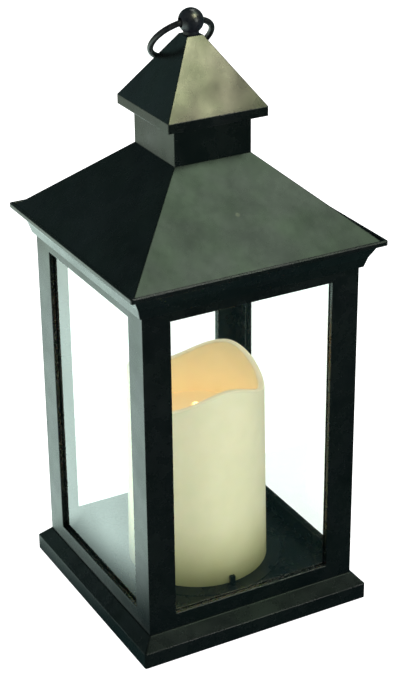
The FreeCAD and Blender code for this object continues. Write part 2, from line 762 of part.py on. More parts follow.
def make_chimney():
    """A square flue with a screw post in each corner and a flange that closes the cap."""
    corner = size("brim_corner") / 4
    flange_half = cap_half - wall - size("slide_play")
    flange_top_level = cap_foot + wall
    flue = cut("flue", tapered("flue_outside", [(roof_top, chimney_half, corner),
                                                (cap_foot, chimney_half, corner)]),
               tapered("flue_inside", [(roof_top, chimney_half - wall, corner),
                                       (cap_foot, chimney_half - wall, corner)]))
    posts = holes("flue_posts", corner_places(post_reach), size("chimney_post"), roof_top, flange_top_level)
    flange = box("flue_flange", (-flange_half, -flange_half, cap_foot),
                 (flange_half, flange_half, flange_top_level))
    drills = holes("flue_holes", corner_places(post_reach), screw_clearance, roof_top, flange_top_level)
    node(cut("chimney_cut", fuse("chimney_solid", flue, posts, flange), drills), "chimney")


def make_cap():
    """A hollow steep roof with an upright edge, a flat top and four bosses inside."""
    corner = size("brim_corner") / 3
    platform_half = size("cap_platform") / 2
    outside = tapered("cap_outside", [(cap_foot, cap_half, corner), (cap_shoulder, cap_half, corner),
                                      (cap_top, platform_half, corner / 2)])
    peak = cap_top - size("cap_peak")
    run = cap_half - platform_half
    peak_half = platform_half + size("cap_peak") * run / size("cap_rise") - size("cap_skin")
    hollow = tapered("cap_hollow", [(cap_foot, cap_half - wall, corner),
                                    (cap_shoulder - wall / 2, cap_half - wall, corner),
                                    (peak, peak_half, corner)])
    columns = holes("cap_columns", corner_places(post_reach), size("chimney_post"),
                    cap_foot + wall, cap_top)
    shell = cut("cap_shell", outside, cut("cap_space", hollow, columns))
    boss_drills = holes("cap_boss_holes", corner_places(post_reach), size("screw_radius"),
                        cap_foot + wall, cap_foot + wall + size("roof_screw_bite") / 2 + size("screw_play"))
    top_drill = cylinder("cap_top_hole", screw_clearance, peak, cap_top)
    cap = cut("cap_cut", shell, fuse("cap_tools", boss_drills, top_drill))

    def outer_edge(edge):
        low = level(edge, cap_foot) and reaches(edge, cap_half - corner)
        return low or level(edge, cap_shoulder) and reaches(edge, cap_half - corner)

    node(rounded("cap_rounded", cap, corner / 2, outer_edge), "top_roof")


# --- finial and ring ---

ring_radius = size("ring_radius")
half_hole = size("ball_radius")
wire_bow = ring_radius - square_root(ring_radius * ring_radius - half_hole * half_hole)
ring_hole_radius = size("ring_wire") / 2 + wire_bow / 2 + size("ring_play")
finial_bite = size("ball_lift") - size("ring_drop") - ring_hole_radius - size("screw_play") * 3


def make_finial():
    """A ball on a short neck, with a cross hole for the ring and a screw hole from below."""
    body = new_body("finial")
    profile = new_sketch(body, "finial_profile", "XZ_Plane")
    domed(profile, size("neck_radius"), cap_top, size("ball_radius"), ball_middle)
    revolution(body, "finial_turned", profile)
    cross = new_sketch(body, "finial_cross", "YZ_Plane", -size("ball_radius"))
    round_hole(cross, ring_hole_radius, 0, hole_middle)
    pocket(body, "finial_cross_hole", cross, size("ball_radius") * 2)
    drill = new_sketch(body, "finial_drill", lift=cap_top)
    round_hole(drill, size("screw_radius"))
    pocket(body, "finial_screw_hole", drill, finial_bite + size("screw_play"))
    node(body, "finial")


def make_ring():
    """A wire ring through the ball, leaning back."""
    ring = document.addObject("Part::Torus", "ring")
    bind(ring, Radius1=ring_radius, Radius2=size("ring_wire") / 2)
    reach = ring_radius - wire_bow / 2
    tilt = size("ring_tilt")
    turn(ring, -tilt.value, Vector(1, 0, 0))
    put(ring, 0, reach * cosine(tilt), hole_middle - reach * sine(tilt))
    ring.setExpression("Placement.Rotation.Angle", (-tilt).text)
    node(ring, "hanging_ring")


# --- candle base ---

door_top = plate_underside - size("door_play")
door_bottom = door_top - size("door_thickness")
door_half = size("door_width") / 2
door_end = size("door_length") / 2
cell_hole = size("cell_radius") + size("cell_play")
cell_across = size("cell_pitch") / 2
cell_bottom = door_top + size("contact_sheet") + size("door_play")
cell_top = cell_bottom + size("cell_height") + size("nub_height")
contact_top = cell_top + size("contact_space")
holder_half = cell_across + cell_hole + size("holder_wall")
holder_depth = cell_hole + size("holder_wall")
holder_top = contact_top + size("holder_wall")
holder_screw_places = [(size("ear_spread") * across, size("ear_reach") * back) for across, back in CORNERS]
knob_middle = size("knob_travel") / 2
slot_half = (size("knob_travel") + size("knob_length")) / 2 + size("slide_play")
slot_width = size("knob_width") / 2 + size("slide_play")


def make_twist_base():
    """The disc that fills the deck's bore, with lock lugs, candle tabs, door rails and finger grips."""
    rim_inside = size("base_radius") - size("base_rim")
    disc = cylinder("disc", size("base_radius"), flange_bottom, base_top)
    flange = cylinder("flange", flange_radius, flange_bottom, flange_top)
    lugs = [sector(f"lug_{number}", lug_radius, size("base_radius"), flange_bottom, flange_top,
                   size("lug_sweep"), 120 * number) for number in range(3)]
    recess = cylinder("disc_recess", rim_inside, flange_bottom, plate_underside)
    shell = cut("disc_shell", fuse("disc_solid", disc, flange, *lugs), recess)
    rail_near = door_half + size("door_play")
    rail_far = rail_near + size("rail_thickness")
    lip_top = door_bottom - size("door_play")
    lip_bottom = lip_top - size("rail_thickness")
    added = []
    grip_half = size("grip_length") / 2
    grip_bottom = plate_underside - size("grip_drop")
    for way in (1, -1):
        near, far = span(rail_near * way, rail_far * way)
        added.append(box(f"rail_{way}", (-door_end, near, lip_bottom), (door_end, far, plate_underside)))
        near, far = span((rail_near - size("rail_lip")) * way, rail_far * way)
        added.append(box(f"rail_lip_{way}", (-door_end, near, lip_bottom), (door_end, far, lip_top)))
        near, far = span(size("grip_reach") * way, (size("grip_reach") + size("grip_thickness")) * way)
        added.append(box(f"grip_{way}", (-grip_half, near, grip_bottom), (grip_half, far, plate_underside)))
    stop_far = -door_end - size("door_play") - size("rail_thickness")
    added.append(box("door_stop", (stop_far, -door_half / 2, lip_bottom),
                     (-door_end - size("door_play"), door_half / 2, plate_underside)))
    tab_near = size("candle_foot") + size("twist_play")
    for number in range(3):
        tab = box(f"tab_{number}", (tab_near, -size("tab_width") / 2, base_top),
                  (tab_near + size("tab_thickness"), size("tab_width") / 2, base_top + size("tab_height")))
        carrier = document.addObject("Part::Compound", f"tab_turned_{number}")
        carrier.Links = [tab]
        added.append(turn(carrier, 120 * number - 90))
    body = fuse("twist_solid", shell, *added)
    opening = box("cell_opening", (-cell_across - cell_hole, -cell_hole, plate_underside),
                  (cell_across + cell_hole, cell_hole, base_top))
    slot = box("knob_slot", (-slot_half, size("switch_reach") - slot_width, plate_underside),
               (slot_half, size("switch_reach") + slot_width, base_top))
    drills = holes("base_holes", holder_screw_places, screw_clearance, plate_underside, base_top)
    node(cut("twist_cut", body, fuse("twist_tools", opening, slot, drills)), "twist_base")


# --- candle ---

candle_rim = base_top + size("candle_height")
well_top = base_top + size("well_floor")
deck_plate_bottom = well_top - wall
board_top = deck_plate_bottom - size("board_drop")
board_bottom = board_top - size("board_thickness")


def wavy_edge(radius):
    """The melted rim's line at a radius, which rises and falls evenly round the candle."""
    lobes = round(size("rim_lobes").value)
    first = math.radians(size("first_lobe").value)
    steps = lobes * 8
    points = []
    for step in range(steps):
        angle = math.radians(360 / steps * step)
        rise = size("rim_wave").value * math.cos(lobes * (angle - first))
        points.append(Vector(radius * math.cos(angle), radius * math.sin(angle), candle_rim.value + rise))
    curve = Part.BSplineCurve()
    curve.interpolate(points, PeriodicFlag=True)
    return curve.toShape()


def make_candle():
    """A hollow pillar with a melted rim and a ledge for the lamp deck."""
    body = new_body("candle_turned")
    profile = new_sketch(body, "candle_profile", "XZ_Plane")
    full_top = candle_rim + size("rim_wave") * 2
    inside = size("candle_mouth") - size("candle_wall")
    ledge_bottom = deck_plate_bottom - size("ledge_thickness")
    outline(profile, [
        (size("candle_core"), base_top), (size("candle_foot"), base_top),
        (size("candle_mouth"), full_top), (inside, full_top), (inside, deck_plate_bottom),
        (inside - size("ledge_width"), deck_plate_bottom), (inside - size("ledge_width"), ledge_bottom),
        (size("candle_core"), ledge_bottom)])
    revolution(body, "candle_pillar", profile)
    inner = wavy_edge(size("led_radius").value)
    outer = wavy_edge(size("candle_foot").value + size("candle_wall").value)
    cutter = document.addObject("Part::Feature", "rim_cutter")
    cutter.Shape = Part.makeRuledSurface(inner, outer).extrude(Vector(0, 0, size("candle_height").value))
    document.recompute()
    melted = cut("candle_melted", body, cutter)

    def rim_edge(edge):
        bounds = edge.BoundBox
        return bounds.ZMax - bounds.ZMin > size("rim_wave").value and bounds.ZMin > well_top.value

    node(rounded("candle_rounded", melted, size("rim_round"), rim_edge), "candle_shell")


post_across = size("board_width") / 2 - size("ear_radius")
deck_posts = [(as_size(0), size("board_back") - size("ear_radius") * 2),
              (post_across, size("ear_radius") - size("board_front")),
              (-post_across, size("ear_radius") - size("board_front"))]
led_bottom = deck_plate_bottom
led_collar = led_bottom + size("led_height") / 3
leg_across = size("led_radius") / 2


def make_led_deck():
    """The floor of the candle's well, with a collar for the light and posts for the board."""
    body = new_body("led_deck")
    disc = new_sketch(body, "deck_disc", lift=deck_plate_bottom)
    round_hole(disc, size("candle_mouth") - size("candle_wall") - size("deck_play"))
    pad(body, "deck_plate", disc, wall)
    collar = new_sketch(body, "deck_collar", lift=deck_plate_bottom)
    round_hole(collar, size("led_radius") + wall)
    pad(body, "deck_collar_pad", collar, led_collar - led_bottom)
    posts = new_sketch(body, "deck_posts", lift=board_top)
    for across, back in deck_posts:
        round_hole(posts, size("board_post"), across, back)
    pad(body, "deck_post_pads", posts, deck_plate_bottom - board_top + wall / 2)
    bore = new_sketch(body, "deck_bore", lift=deck_plate_bottom)
    round_hole(bore, size("led_radius") + size("door_play"))
    pocket(body, "deck_bore_cut", bore, size("led_height"))
    drill = new_sketch(body, "deck_drill", lift=board_top)
    for across, back in deck_posts:
        round_hole(drill, size("board_screw"), across, back)
    pocket(body, "deck_screw_holes", drill, size("board_drop"))
    node(body, "led_deck")


def make_led():
    """A clear round-nosed lamp on two legs that stand on the board."""
    body = new_body("led_bulb")
    profile = new_sketch(body, "led_profile", "XZ_Plane")
    radius = size("led_radius")
    domed(profile, radius, led_bottom, radius, led_bottom + size("led_height") - radius)
    revolution(body, "led_lens", profile)
    legs = new_sketch(body, "led_legs", lift=board_top)
    for way in (1, -1):
        round_hole(legs, size("led_leg"), leg_across * way, 0)
    pad(body, "led_leg_pads", legs, led_bottom - board_top + wall / 2)
    node(body, "led_bulb")


def make_board():
    body = new_body("circuit_board")
    plan = new_sketch(body, "board_plan", lift=board_bottom)
    half = size("board_width") / 2
    rounded_rectangle(plan, -half, half, -size("board_front"), size("board_back"), size("ear_radius"))
    pad(body, "board_pad", plan, size("board_thickness"))
    drill = new_sketch(body, "board_drill", lift=board_bottom)
    for across, back in deck_posts:
        round_hole(drill, size("board_screw") + size("screw_play"), across, back)
    pocket(body, "board_holes", drill, size("board_thickness"))
    node(body, "circuit_board")
    screws("board_screws", deck_posts, board_bottom,
           size("board_thickness") + size("board_drop") - size("tip_gap"), True,
           head=size("board_screw") * 2, thread=size("board_screw"))


# --- battery holder, cells, contacts, leads ---

lead_across = cell_across - size("contact_width") / 4
switch_lead_across = size("switch_length") / 4


def make_battery_holder():
    """A block with a bore for each cell, open below, and four ears that are screwed to the base."""
    body = new_body("battery_holder")
    plan = new_sketch(body, "holder_plan", lift=base_top)
    rounded_rectangle(plan, -holder_half, holder_half, -holder_depth, holder_depth, size("cell_radius") / 2)
    pad(body, "holder_block", plan, holder_top - base_top)
    ears = new_sketch(body, "holder_ears", lift=base_top)
    ear_half = size("ear_spread") + size("ear_radius")
    ear_far = size("ear_reach") + size("ear_radius")
    for across in (1, -1):
        for back in (1, -1):
            near = size("ear_spread") - size("ear_radius")
            rectangle(ears, *span(near * across, ear_half * across),
                      *span(holder_depth / 2 * back, ear_far * back))
    pad(body, "holder_ear_pads", ears, size("ear_height"))
    bores = new_sketch(body, "holder_bores", lift=base_top)
    for way in (1, -1):
        round_hole(bores, cell_hole, cell_across * way, 0)
    pocket(body, "holder_bore_cuts", bores, contact_top - base_top)
    lead_holes = new_sketch(body, "holder_lead_holes", lift=contact_top)
    for way in (1, -1):
        round_hole(lead_holes, size("lead_radius") + size("slide_play"), lead_across * way, 0)
    pocket(body, "holder_lead_cuts", lead_holes, size("holder_wall"))
    drill = new_sketch(body, "holder_drill", lift=base_top)
    for across, back in holder_screw_places:
        round_hole(drill, size("screw_radius"), across, back)
    pocket(body, "holder_screw_holes", drill, size("ear_height"))
    node(body, "battery_holder")
    screws("holder_screws", holder_screw_places, plate_underside,
           size("base_plate") + size("ear_height") - size("tip_gap"), True)


def make_cells():
    """Two C cells side by side, one of them upside down."""
    cells = []
    for way in (1, -1):
        label = f"cell_{way}"
        can_bottom = cell_bottom if way > 0 else cell_bottom + size("nub_height")
        can_top = can_bottom + size("cell_height")
        can = cylinder(label + "_can", size("cell_radius"), can_bottom, can_top, cell_across * way)
        nub_ends = (can_top, cell_top) if way > 0 else (cell_bottom, can_bottom)
        nub = cylinder(label + "_nub", size("nub_radius"), *nub_ends, cell_across * way)
        cells.append(fuse(label, can, nub))
    node(group("battery_cells", cells), "battery_cells")


def make_contacts():
    """A button over the upright cell, and a coned spring over the other, each under its own plate."""
    half = size("contact_width") / 2
    plate_bottom = contact_top - size("contact_sheet")
    made = []
    for way in (1, -1):
        label = f"contact_{way}"
        middle = cell_across * way
        plate = box(label + "_plate", (middle - half, -half, plate_bottom),
                    (middle + half, half, contact_top))
        if way > 0:
            touch = cylinder(label + "_button", size("nub_radius"), cell_top, plate_bottom, middle)
        else:
            cones = []
            for part, thinner in (("outside", as_size(0)), ("inside", size("contact_sheet") * 2)):
                cone = document.addObject("Part::Cone", f"{label}_{part}")
                foot = size("nub_radius") - thinner
                bind(cone, Radius1=foot, Radius2=foot + size("spring_flare"), Height=plate_bottom - cell_top)
                cones.append(put(cone, middle, 0, cell_top))
            touch = cut(label + "_spring", *cones)
        made.append(fuse(label, plate, touch))
    node(group("battery_contacts", made), "battery_contacts")


def make_leads():
    """Straight insulated leads: contacts to board, and switch to board."""
    battery_leads = [cylinder(f"battery_lead_{way}", size("lead_radius"), contact_top, board_bottom,
                              lead_across * way) for way in (1, -1)]
    switch_leads = [cylinder(f"switch_lead_{way}", size("lead_radius"), base_top + size("switch_height"),
                             board_bottom, switch_lead_across * way, size("switch_reach"))
                    for way in (1, -1)]
    node(group("leads", battery_leads + switch_leads), "leads")


# --- switch and battery door ---

def make_switch():
    """A slide switch over its slot, and the knob that reaches down through the base."""
    body = new_body("slide_switch")
    plan = new_sketch(body, "switch_plan", lift=base_top)
    half = size("switch_length") / 2
    near = size("switch_reach") - size("switch_width") / 2
    far = size("switch_reach") + size("switch_width") / 2
    rectangle(plan, -half, half, near, far)
    pad(body, "switch_block", plan, size("switch_height"))
    track = new_sketch(body, "switch_track", lift=base_top)
    rectangle(track, -slot_half, slot_half,
              size("switch_reach") - slot_width, size("switch_reach") + slot_width)
    pocket(body, "switch_track_cut", track, size("track_depth"))
    node(body, "slide_switch")
    knob = new_body("switch_knob")
    stem = new_sketch(knob, "knob_plan", lift=plate_underside - size("base_plate"))
    knob_left = -knob_middle - size("knob_length") / 2
    knob_half = size("knob_width") / 2
    rectangle(stem, knob_left, knob_left + size("knob_length"),
              size("switch_reach") - knob_half, size("switch_reach") + knob_half)
    pad(knob, "knob_stem", stem, size("base_plate") * 2 + size("track_depth") - size("slide_play"))
    node(knob, "switch_knob")


def make_door():
    """The sliding battery door with thumb ribs, and the contact strip fixed on it."""
    door = new_body("battery_door")
    plan = new_sketch(door, "door_plan", lift=door_bottom)
    rounded_rectangle(plan, -door_end, door_end, -door_half, door_half, size("door_thickness"))
    pad(door, "door_plate", plan, size("door_thickness"))
    rib = new_sketch(door, "door_rib", lift=door_bottom - size("door_thickness") / 2)
    rib_half = door_half / 2
    first = door_end / 2
    rectangle(rib, first, first + size("contact_sheet") * 3, -rib_half, rib_half)
    ribs = pad(door, "door_rib_pad", rib, size("door_thickness") / 2)
    row = door.newObject("PartDesign::LinearPattern", "door_ribs")
    row.Originals = [ribs]
    row.Direction = (rib, ["H_Axis"])
    bind(row, Length=door_end / 3)
    row.Occurrences = 4
    door.Tip = row
    node(door, "battery_door")
    bridge = new_body("door_contact")
    strip = new_sketch(bridge, "bridge_plan", lift=door_top)
    rectangle(strip, -cell_across - size("nub_radius"), cell_across + size("nub_radius"),
              -size("nub_radius"), size("nub_radius"))
    pad(bridge, "bridge_pad", strip, size("contact_sheet"))
    node(bridge, "door_contact")


make_base_plinth()
make_rubber_feet()
make_wall_frames()
make_panes()
screws("wall_screws", wall_screw_places(), deck_underside,
       size("deck_thickness") + size("wall_screw_bite"), True,
       head=size("wall_screw_head"), thread=size("wall_screw_radius"))
make_cornice()
screws("cornice_screws", wall_screw_places(), ceiling_top, wall + size("wall_screw_bite"), False,
       head=size("wall_screw_head"), thread=size("wall_screw_radius"))
make_main_roof()
screws("roof_screws", corner_places(roof_screw_reach), frame_top, wall + size("roof_screw_bite"), True)
make_chimney()
make_cap()
screws("chimney_screws", corner_places(post_reach), roof_top - wall,
       wall * 2 + size("chimney_height") + size("roof_screw_bite") / 2, True)
make_finial()
screws("finial_screw", [(as_size(0), as_size(0))], cap_top - size("cap_peak"),
       size("cap_peak") + finial_bite, True)
make_ring()
make_twist_base()
make_candle()
make_led_deck()
make_led()
make_board()
make_battery_holder()
make_cells()
make_contacts()
make_leads()
make_switch()
make_door()

document.recompute()
for thing in document.Objects:
    if "Invalid" in thing.State or "Error" in thing.State:
        raise RuntimeError(f"{thing.Label} failed: {thing.State}")
for piece in nodes:
    if piece.Shape.isNull() or not piece.Shape.isValid():
        raise RuntimeError(f"{piece.Label} has no valid shape")

os.makedirs("parts", exist_ok=True)
for piece in nodes:
    piece.Shape.exportStep(f"parts/{piece.Label}.step")
    print(f"{piece.Label}: {len(piece.Shape.Solids)} solid(s), {piece.Shape.Volume:.0f} mm3")
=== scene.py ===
import json
import math
import bpy
from mathutils import Matrix, Vector

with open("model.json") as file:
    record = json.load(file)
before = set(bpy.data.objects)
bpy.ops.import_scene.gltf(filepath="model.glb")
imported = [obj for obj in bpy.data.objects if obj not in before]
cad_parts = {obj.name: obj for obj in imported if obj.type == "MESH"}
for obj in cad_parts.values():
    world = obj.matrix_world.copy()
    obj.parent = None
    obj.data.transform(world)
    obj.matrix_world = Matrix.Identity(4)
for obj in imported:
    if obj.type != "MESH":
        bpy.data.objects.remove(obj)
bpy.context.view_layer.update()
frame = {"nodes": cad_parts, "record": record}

# The lantern stands at the origin on the floor, with its front towards -Y. Metres.

# --- camera: the photograph's place and angle ---

CAMERA_PLACE = Vector((-0.4155, -0.7756, 0.5775))
CAMERA_AZIMUTH = math.radians(-28.36)
CAMERA_PITCH = math.radians(25.85)
CAMERA_ROLL = math.radians(-0.65)
FRAME_HEIGHT_PIXELS = 679
FOCAL_PIXELS = 1787
SENSOR = 36.0


def make_camera():
    turn, pitch = CAMERA_AZIMUTH, CAMERA_PITCH
    back = Vector((math.sin(turn) * math.cos(pitch), -math.cos(turn) * math.cos(pitch), math.sin(pitch)))
    right = Vector((math.cos(turn), math.sin(turn), 0))
    up = back.cross(right)
    rolled_right = right * math.cos(CAMERA_ROLL) + up * math.sin(CAMERA_ROLL)
    rolled_up = up * math.cos(CAMERA_ROLL) - right * math.sin(CAMERA_ROLL)
    data = bpy.data.cameras.new("photo_camera")
    data.sensor_width = SENSOR
    data.lens = FOCAL_PIXELS * SENSOR / FRAME_HEIGHT_PIXELS
    camera = bpy.data.objects.new("photo_camera", data)
    turned = Matrix((rolled_right, rolled_up, back)).transposed().to_4x4()
    camera.matrix_world = Matrix.Translation(CAMERA_PLACE) @ turned
    bpy.context.collection.objects.link(camera)
    bpy.context.scene.camera = camera


# --- material helpers ---

class Shading:
    """A material's node tree, with short calls for the nodes that the finishes use."""

    def __init__(self, name):
        self.material = bpy.data.materials.new(name)
        self.material.use_nodes = True
        self.nodes = self.material.node_tree.nodes
        self.links = self.material.node_tree.links
        self.nodes.clear()
        self.output = self.add("ShaderNodeOutputMaterial")
        self.place = self.add("ShaderNodeTexCoord").outputs["Object"]

    def add(self, kind, **settings):
        node = self.nodes.new(kind)
        for name, value in settings.items():
            setattr(node, name, value)
        return node

    def feed(self, socket, value):
        """Links a socket, or sets its value."""
        if isinstance(value, bpy.types.NodeSocket):
            self.links.new(value, socket)
        elif isinstance(value, (tuple, list)) and len(value) == 3 and len(socket.default_value) == 4:
            socket.default_value = (*value, 1.0)
        else:
            socket.default_value = value

    def show(self, shader):
        """Makes a shader's result the material's surface."""
        self.links.new(shader.outputs[0], self.output.inputs["Surface"])

    def principled(self, **sockets):
        shader = self.add("ShaderNodeBsdfPrincipled")
        for name, value in sockets.items():
            self.feed(shader.inputs[name.replace("_", " ")], value)
        return shader

    def mix_shaders(self, amount, first, second):
        node = self.add("ShaderNodeMixShader")
        self.feed(node.inputs[0], amount)
        self.links.new(first.outputs[0], node.inputs[1])
        self.links.new(second.outputs[0], node.inputs[2])
        return node

    def noise(self, size, detail=3.0, roughness=0.55, stretch=(1, 1, 1), shift=(0, 0, 0)):
        """Noise whose features are about size metres across."""
        mapping = self.add("ShaderNodeMapping")
        self.links.new(self.place, mapping.inputs["Vector"])
        mapping.inputs["Scale"].default_value = stretch
        mapping.inputs["Location"].default_value = shift
        texture = self.add("ShaderNodeTexNoise")
        self.links.new(mapping.outputs[0], texture.inputs["Vector"])
        texture.inputs["Scale"].default_value = 1.0 / size
        texture.inputs["Detail"].default_value = detail
        texture.inputs["Roughness"].default_value = roughness
        return texture.outputs["Fac"]

    def spread(self, value, low, high, start=0.35, end=0.65, smooth=False):
        """Maps the span from start to end onto low to high."""
        node = self.add("ShaderNodeMapRange", interpolation_type="SMOOTHSTEP" if smooth else "LINEAR")
        self.links.new(value, node.inputs["Value"])
        for name, number in (("From Min", start), ("From Max", end), ("To Min", low), ("To Max", high)):
            node.inputs[name].default_value = number
        return node.outputs["Result"]

    def ramp(self, value, *stops):
        """A colour ramp from (position, colour) stops."""
        node = self.add("ShaderNodeValToRGB")
        self.links.new(value, node.inputs["Fac"])
        elements = node.color_ramp.elements
        while len(elements) < len(stops):
            elements.new(0.5)
        for element, (position, color) in zip(elements, stops):
            element.position = position
            element.color = (*color, 1.0)
        return node.outputs["Color"]

    def mix(self, amount, first, second, blend="MIX"):
        """Mixes two colours. Sockets 6 and 7 of a Mix node are its colours, and output 2 its result."""
        node = self.add("ShaderNodeMix", data_type="RGBA", blend_type=blend)
        self.feed(node.inputs["Factor"], amount)
        self.feed(node.inputs[6], first)
        self.feed(node.inputs[7], second)
        return node.outputs[2]

    def maths(self, operation, first, second=0.0):
        node = self.add("ShaderNodeMath", operation=operation)
        self.feed(node.inputs[0], first)
        self.feed(node.inputs[1], second)
        return node.outputs[0]

    def axis(self, name):
        """The X, Y or Z coordinate, in metres."""
        node = self.add("ShaderNodeSeparateXYZ")
        self.links.new(self.place, node.inputs[0])
        return node.outputs[name]

    def reach(self, across, back):
        """How far a place with these X and Y coordinates is from the lantern's axis."""
        squares = [self.maths("MULTIPLY", step, step) for step in (across, back)]
        return self.maths("SQRT", self.maths("ADD", *squares))

    def worn_edges(self, radius):
        """A normal that makes the edges look rounded, with a radius in metres."""
        node = self.add("ShaderNodeBevel", samples=4)
        node.inputs["Radius"].default_value = radius
        return node.outputs["Normal"]

    def bump(self, *layers, normal=None):
        """Stacked bumps from (height, strength, depth in metres), on a first normal if one is given."""
        for value, strength, depth in layers:
            node = self.add("ShaderNodeBump")
            self.links.new(value, node.inputs["Height"])
            node.inputs["Strength"].default_value = strength
            node.inputs["Distance"].default_value = depth
            if normal:
                self.links.new(normal, node.inputs["Normal"])
            normal = node.outputs["Normal"]
        return normal


# --- finishes ---

PLASTIC_IOR = 1.5
GRAIN = 0.0006
GRAIN_DEPTH = 0.00001
MOTTLE = 0.006
MOTTLE_DEPTH = 0.00008
CLOUD = 0.022
WAVE_DEPTH = 0.0005
EDGE_WEAR = 0.0005
BLOTCH = 0.03
BLOTCH_SHIFT = (0.516, -0.764, -0.507)      # picked from 34 offsets, compared with the photo's front slopes
BLOTCH_SPAN = (0.36, 0.62)
BLOTCH_LEVELS = (0.42, 0.58)                # specular level of the dull and the glossy blotches
PINK_TINT = (1.0, 0.97, 1.0)
GREEN_TINT = (0.94, 1.0, 0.91)
# A painted highlight: a pale dot on the roof's front slope, where a small nub would catch the light. It is
# colour only: the solid has no nub there.
HIGHLIGHT_PLACE = (0.0, -0.0475, 0.2412)
HIGHLIGHT_COLOR = (0.05, 0.055, 0.032)
HIGHLIGHT_RADIUS = 0.0008
HIGHLIGHT_FADED = 0.0016


def moulded_plastic(name, dark, light, roughness=(0.22, 0.31)):
    """Near-black moulded plastic: a fine grain, a soft mottle, cloudy gloss, edges that look rounded and a
    painted highlight.
    """
    s = Shading(name)
    patches = s.mix(0.5, s.noise(MOTTLE, detail=4), s.noise(CLOUD, detail=3))
    offset = s.add("ShaderNodeVectorMath", operation="DISTANCE")
    s.links.new(s.place, offset.inputs[0])
    offset.inputs[1].default_value = HIGHLIGHT_PLACE
    # The painted highlight: a pale dot on the roof's front slope, mixed into the colour below.
    painted_highlight = s.spread(offset.outputs["Value"], 1.0, 0.0, HIGHLIGHT_RADIUS, HIGHLIGHT_FADED, smooth=True)
    color = s.mix(painted_highlight, s.ramp(patches, (0.38, dark), (0.62, light)), HIGHLIGHT_COLOR)
    normal = s.bump((s.noise(CLOUD, detail=1), 1.0, WAVE_DEPTH),
                    (s.noise(MOTTLE, detail=2), 0.2, MOTTLE_DEPTH),
                    (s.noise(GRAIN, detail=1), 0.15, GRAIN_DEPTH), normal=s.worn_edges(EDGE_WEAR))
    blotches = s.noise(BLOTCH, detail=4, roughness=0.6, shift=BLOTCH_SHIFT)
    stains = s.noise(BLOTCH, detail=2, stretch=(1, 1.2, 0.9), shift=BLOTCH_SHIFT)
    s.show(s.principled(Base_Color=color, Roughness=s.spread(patches, *roughness), IOR=PLASTIC_IOR,
                        Specular_IOR_Level=s.spread(blotches, *BLOTCH_LEVELS, *BLOTCH_SPAN),
                        Specular_Tint=s.ramp(stains, (0.4, PINK_TINT), (0.6, GREEN_TINT)), Normal=normal))
    return s.material


def enamel(name, sizes, stops, roughness, bump):
    """Dark enamel, whose colour, gloss and bumps vary in patches of their own sizes."""
    s = Shading(name)
    color_size, gloss_size, bump_size = sizes
    s.show(s.principled(Base_Color=s.ramp(s.noise(color_size, detail=4), *stops),
                        Roughness=s.spread(s.noise(gloss_size, detail=4), *roughness), IOR=PLASTIC_IOR,
                        Normal=s.bump((s.noise(bump_size, detail=3), *bump))))
    return s.material


def speckled(name, size, stops, roughness, bump=None, detail=3, stretch=(1, 1, 1), metallic=0.0):
    """A plain finish whose colour, gloss and bumps all follow one fine speckle."""
    s = Shading(name)
    speck = s.noise(size, detail=detail, stretch=stretch)
    shader = s.principled(Base_Color=s.ramp(speck, *stops), Roughness=s.spread(speck, *roughness),
                          Metallic=metallic)
    if bump:
        s.feed(shader.inputs["Normal"], s.bump((speck, *bump)))
    s.show(shader)
    return s.material


PANE_IOR = 1.5
PANE_TINT = (0.965, 0.985, 0.975)
PANE_ROUGHNESS = 0.06
PANE_PATCH = 0.05                           # size of the patches where it mirrors slightly more or less
PANE_SPREAD = (0.94, 1.06)


def clear_pane():
    """A clear sheet. Its outer face mirrors for both faces, and the rest goes straight through."""
    s = Shading("clear_pane")
    fresnel = s.add("ShaderNodeFresnel")
    fresnel.inputs["IOR"].default_value = PANE_IOR
    one_face = fresnel.outputs[0]
    both_faces = s.maths("DIVIDE", s.maths("MULTIPLY", one_face, 2.0), s.maths("ADD", one_face, 1.0))
    outward = s.maths("SUBTRACT", 1.0, s.add("ShaderNodeNewGeometry").outputs["Backfacing"])
    patchy = s.spread(s.noise(PANE_PATCH), *PANE_SPREAD)
    share = s.maths("MULTIPLY", s.maths("MULTIPLY", both_faces, outward), patchy)
    through = s.add("ShaderNodeBsdfTransparent")
    s.feed(through.inputs["Color"], PANE_TINT)
    gloss = s.add("ShaderNodeBsdfGlossy")
    s.feed(gloss.inputs["Color"], (1, 1, 1))
    s.feed(gloss.inputs["Roughness"], PANE_ROUGHNESS)
    s.show(s.mix_shaders(share, through, gloss))
    return s.material


CANDLE_FOOT = 0.0165
CANDLE_TOP = 0.136
LAMP_DECK = 0.100
WELL_RADIUS = 0.0345
WELL_EDGE = 0.001                           # width over which the well's light fades at its wall
WAX_IOR = 1.45
WAX_DEPTH = 0.004                           # how far light spreads under the surface
RIM_LIGHT = (1.0, 0.87, 0.58)
RIM_FACING = (0.2, 0.9)                     # how upright a normal is where the rim's light starts and is full
WELL_LIGHT = (1.0, 0.62, 0.32)


